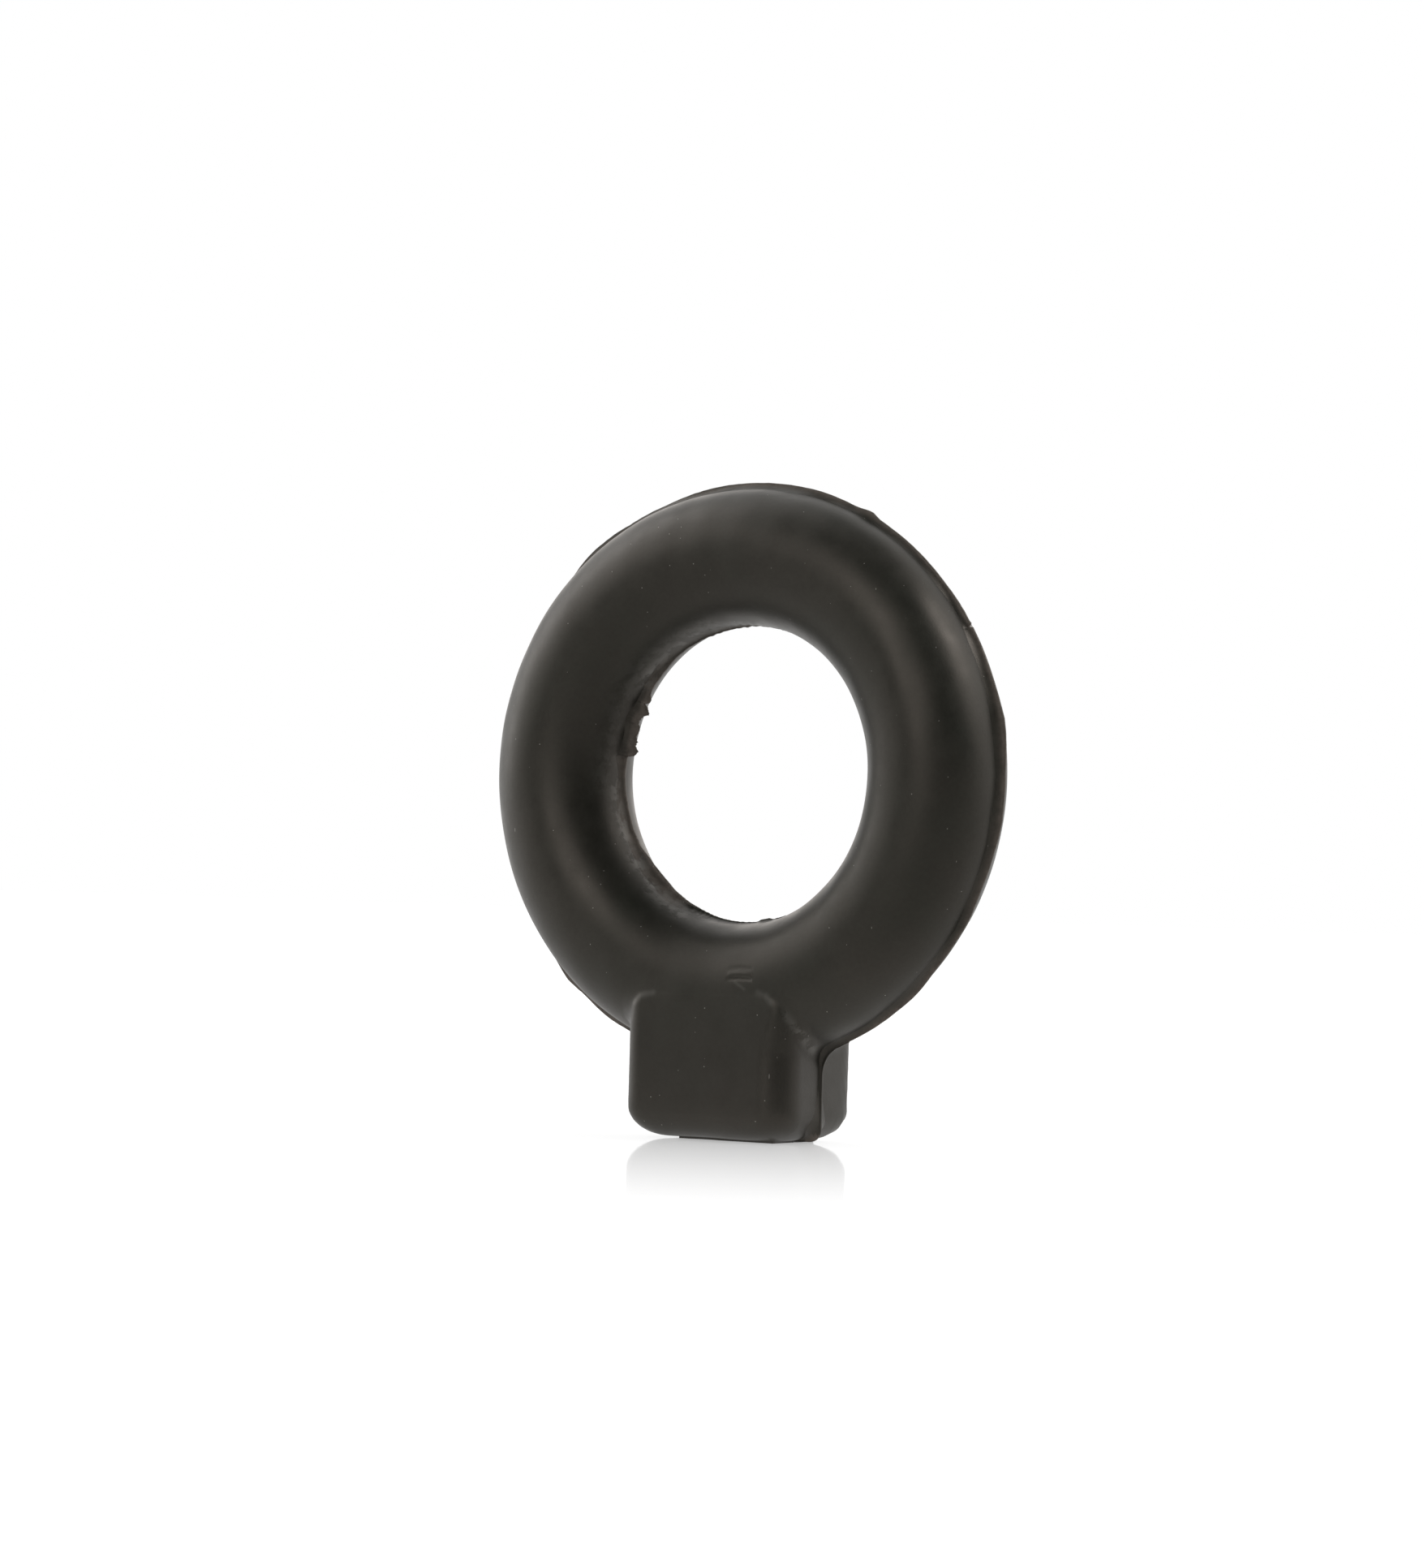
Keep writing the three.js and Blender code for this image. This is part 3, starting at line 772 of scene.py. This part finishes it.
def rubber_material():
    """Black rubber: mottled olive and brown, browner on the flash, with smears, painted highlights, grain and
    specks of dust.
    """
    n = Nodes("rubber")
    here = n.vector_math("SCALE", n.add("TexCoord").outputs["Object"], scale=1 / MM)["Vector"]

    def noise(per_mm, detail=2.0, rough=0.5):
        node = n.add("TexNoise", Vector=here, Scale=per_mm, Detail=detail, Roughness=rough)
        return node.outputs["Fac"]

    patch, mottle = noise(0.1), noise(0.5, 3.0)
    grain, fine = noise(2.4, 4.0, 0.6), noise(9.0)
    flash, smear_and_highlight = n.attribute("flash"), n.attribute("smear_and_highlight")

    # Colour
    colour = n.blend(n.level(patch, 0.38, 0.62), RUBBER_OLIVE, RUBBER_BROWN)
    shade = n.math("ADD", n.level(mottle, *MID_NOISE, *MOTTLE_SHADES),
                   n.level(grain, *MID_NOISE, *GRAIN_SHADES))
    z = n.add("SeparateXYZ", Vector=here).outputs["Z"]
    shade = n.math("MULTIPLY", shade, n.level(z, *LUG_SHADE_HEIGHTS, LUG_SHADE, 1.0))
    colour = n.blend(1.0, colour, shade, "MULTIPLY")
    patchy = n.math("ADD", n.level(grain, *MID_NOISE, 0.45, 0.7), n.level(noise(1.1), 0.35, 0.65, 0.0, 0.45))
    colour = n.blend(n.math("MULTIPLY", flash, patchy), colour, FLASH_COLOUR)
    # Smears and the scratch, with painted highlights on the lug's lips and the hole's upper left, all in light
    # grey
    marks_and_highlights = n.math("MULTIPLY", smear_and_highlight, n.level(noise(0.9, 5.0, 0.6), *SMEAR_AND_HIGHLIGHT_NOISE))
    marks_and_highlights = n.math("MAXIMUM", marks_and_highlights, n.attribute("lip_highlight_and_scratch"))
    colour = n.blend(marks_and_highlights, colour, MARK_AND_HIGHLIGHT_COLOUR)

    # Dust: a few specks, and some short fibres
    def specks(cells_at, size, kept):
        cells = n.add("TexVoronoi", Vector=cells_at, Scale=1.0)
        tint = n.add("SeparateColor", Color=cells.outputs["Color"]).outputs[0]
        return n.math("MULTIPLY", n.math("LESS_THAN", cells.outputs["Distance"], size),
                      n.math("LESS_THAN", tint, kept))

    stretched = n.add("Mapping", Vector=here, Rotation=FIBRE_TURN, Scale=FIBRE_STRETCH).outputs[0]
    dust = n.math("MAXIMUM", specks(here, SPECK_SIZE, SPECK_SHARE), specks(stretched, FIBRE_SIZE, FIBRE_SHARE))
    colour = n.blend(dust, colour, DUST_COLOUR)

    # Gloss
    gloss = n.math("ADD", n.level(mottle, *MID_NOISE, *ROUGHNESS), n.math("MULTIPLY", flash, FLASH_ROUGHER))
    gloss = n.math("SUBTRACT", gloss, n.math("MULTIPLY", marks_and_highlights, MARK_AND_HIGHLIGHT_SMOOTHER))

    # Grain of the skin
    height = n.math("ADD", n.math("MULTIPLY", grain, GRAIN_SHARE), n.math("MULTIPLY", fine, FINE_SHARE))
    height = n.math("ADD", height, n.math("MULTIPLY", marks_and_highlights, MARK_AND_HIGHLIGHT_SHARE))
    bump = n.add("Bump", Height=height, Strength=0.5, Distance=GRAIN_DEPTH)
    n.shade(Base_Color=colour, Roughness=gloss, Normal=bump.outputs[0],
            IOR=RUBBER_IOR, Specular_Tint=RUBBER_TINT)
    return n.material


def floor_material():
    """Glossy pale table: it takes the part's shadow, and a mirror image that fades away from the foot."""
    n = Nodes("floor")
    place = n.add("NewGeometry").outputs["Position"]
    behind = n.vector_math("DOT_PRODUCT", place, BEHIND)["Value"]
    away = n.vector_math("LENGTH", place)["Value"]
    glow = n.math("ADD", n.level(behind, *GLOW_BEHIND), n.level(away, *GLOW_AT_FOOT))
    seen = n.add("LightPath").outputs["Is Camera Ray"]
    n.shade(Base_Color=(FLOOR_COLOUR, FLOOR_COLOUR, FLOOR_COLOUR, 1), Roughness=1.0, Specular_IOR_Level=0.0,
            Emission_Color=(1, 1, 1, 1), Emission_Strength=n.level(seen, 0.0, 1.0, glow, FLOOR_WHITE))
    mirror = n.add("BsdfGlossy", Color=(1, 1, 1, 1), Roughness=MIRROR_ROUGHNESS)
    fade = n.level(away, 0.0, MIRROR_REACH, MIRROR_SHARE, 0.0)
    share = n.math("MULTIPLY", fade, n.add("Fresnel", IOR=MIRROR_IOR).outputs[0])
    mix = n.add("MixShader")
    for socket, value in zip(mix.inputs, (share, n.shader.outputs[0], mirror.outputs[0])):
        n.feed(socket, value)
    n.feed(n.tree.nodes["Material Output"].inputs["Surface"], mix.outputs[0])
    return n.material


def make_floor():
    half = FLOOR_HALF_SIZE
    floor = add_mesh("floor", [(-half, -half, 0), (half, -half, 0), (half, half, 0), (-half, half, 0)],
                     [(0, 1, 2, 3)])
    floor.data.materials.append(floor_material())


def make_world():
    """White to the eye and in reflections; as light on matt surfaces it is a little dimmer."""
    world = bpy.data.worlds.new("studio")
    world.use_nodes = True
    bpy.context.scene.world = world
    nodes, links = world.node_tree.nodes, world.node_tree.links
    background = nodes["Background"]
    background.inputs["Color"].default_value = (1, 1, 1, 1)
    path = nodes.new("ShaderNodeLightPath")
    glossy = nodes.new("ShaderNodeMath")
    glossy.operation = "MAXIMUM"
    links.new(path.outputs["Is Glossy Ray"], glossy.inputs[0])
    links.new(path.outputs["Is Transmission Ray"], glossy.inputs[1])
    seen = nodes.new("ShaderNodeMath")
    seen.operation = "MAXIMUM"
    links.new(path.outputs["Is Camera Ray"], seen.inputs[0])
    links.new(glossy.outputs[0], seen.inputs[1])
    level = nodes.new("ShaderNodeMapRange")
    level.inputs["To Min"].default_value = WORLD_LIGHT
    level.inputs["To Max"].default_value = 1.0
    links.new(seen.outputs[0], level.inputs["Value"])
    links.new(level.outputs[0], background.inputs["Strength"])


def towards(azimuth, elevation):
    """Unit vector towards a place in the studio, from its angles in degrees."""
    a, e = math.radians(azimuth), math.radians(elevation)
    return Vector((math.sin(a) * math.cos(e), -math.cos(a) * math.cos(e), math.sin(e)))


def softbox(name, left, right, bottom, top, radiance, colour):
    """Area lamp that fills this window of the studio as the part sees it."""
    middle = towards((left + right) / 2, (bottom + top) / 2)
    half_wide, half_high = math.radians((right - left) / 2), math.radians((top - bottom) / 2)
    data = bpy.data.lights.new(name, "AREA")
    data.shape = "RECTANGLE"
    data.size = 2 * LAMP_DISTANCE * math.tan(half_wide) * math.cos(math.radians((bottom + top) / 2))
    data.size_y = 2 * LAMP_DISTANCE * math.tan(half_high)
    data.energy = radiance * math.pi * data.size * data.size_y
    data.color = colour
    lamp = bpy.data.objects.new(name, data)
    bpy.context.scene.collection.objects.link(lamp)
    lamp.location = Vector((0, 0, RING_HEIGHT * MM)) + middle * LAMP_DISTANCE
    lamp.rotation_euler = middle.to_track_quat("Z", "Y").to_euler()


def flag(name, left, right, bottom, top):
    """Black cloth that shades this window of the studio; the camera looks through it."""
    points, faces = [], []
    for i in range(FLAG_COLUMNS + 1):
        azimuth = left + (right - left) * i / FLAG_COLUMNS
        for j in range(FLAG_ROWS + 1):
            place = towards(azimuth, bottom + (top - bottom) * j / FLAG_ROWS) * FLAG_DISTANCE
            points.append((place.x, place.y, place.z + RING_HEIGHT * MM))
    for i in range(FLAG_COLUMNS):
        for j in range(FLAG_ROWS):
            here = i * (FLAG_ROWS + 1) + j
            ahead = here + FLAG_ROWS + 1
            faces.append((here, here + 1, ahead + 1, ahead))
    cloth = add_mesh(name, points, faces)
    n = Nodes(name)
    n.shade(Base_Color=FLAG_COLOUR, Roughness=1.0)
    cloth.data.materials.append(n.material)
    cloth.visible_camera = False


make_camera()
bpy.context.scene.view_settings.view_transform = "Standard"
make_world()
make_floor()
for name, window in LAMPS.items():
    softbox(name, *window)
for name, window in FLAGS.items():
    flag(name, *window)
hanger = make_hanger()
hanger.data.materials.append(rubber_material())
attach(hanger, "root")
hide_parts("hanger_rubber")
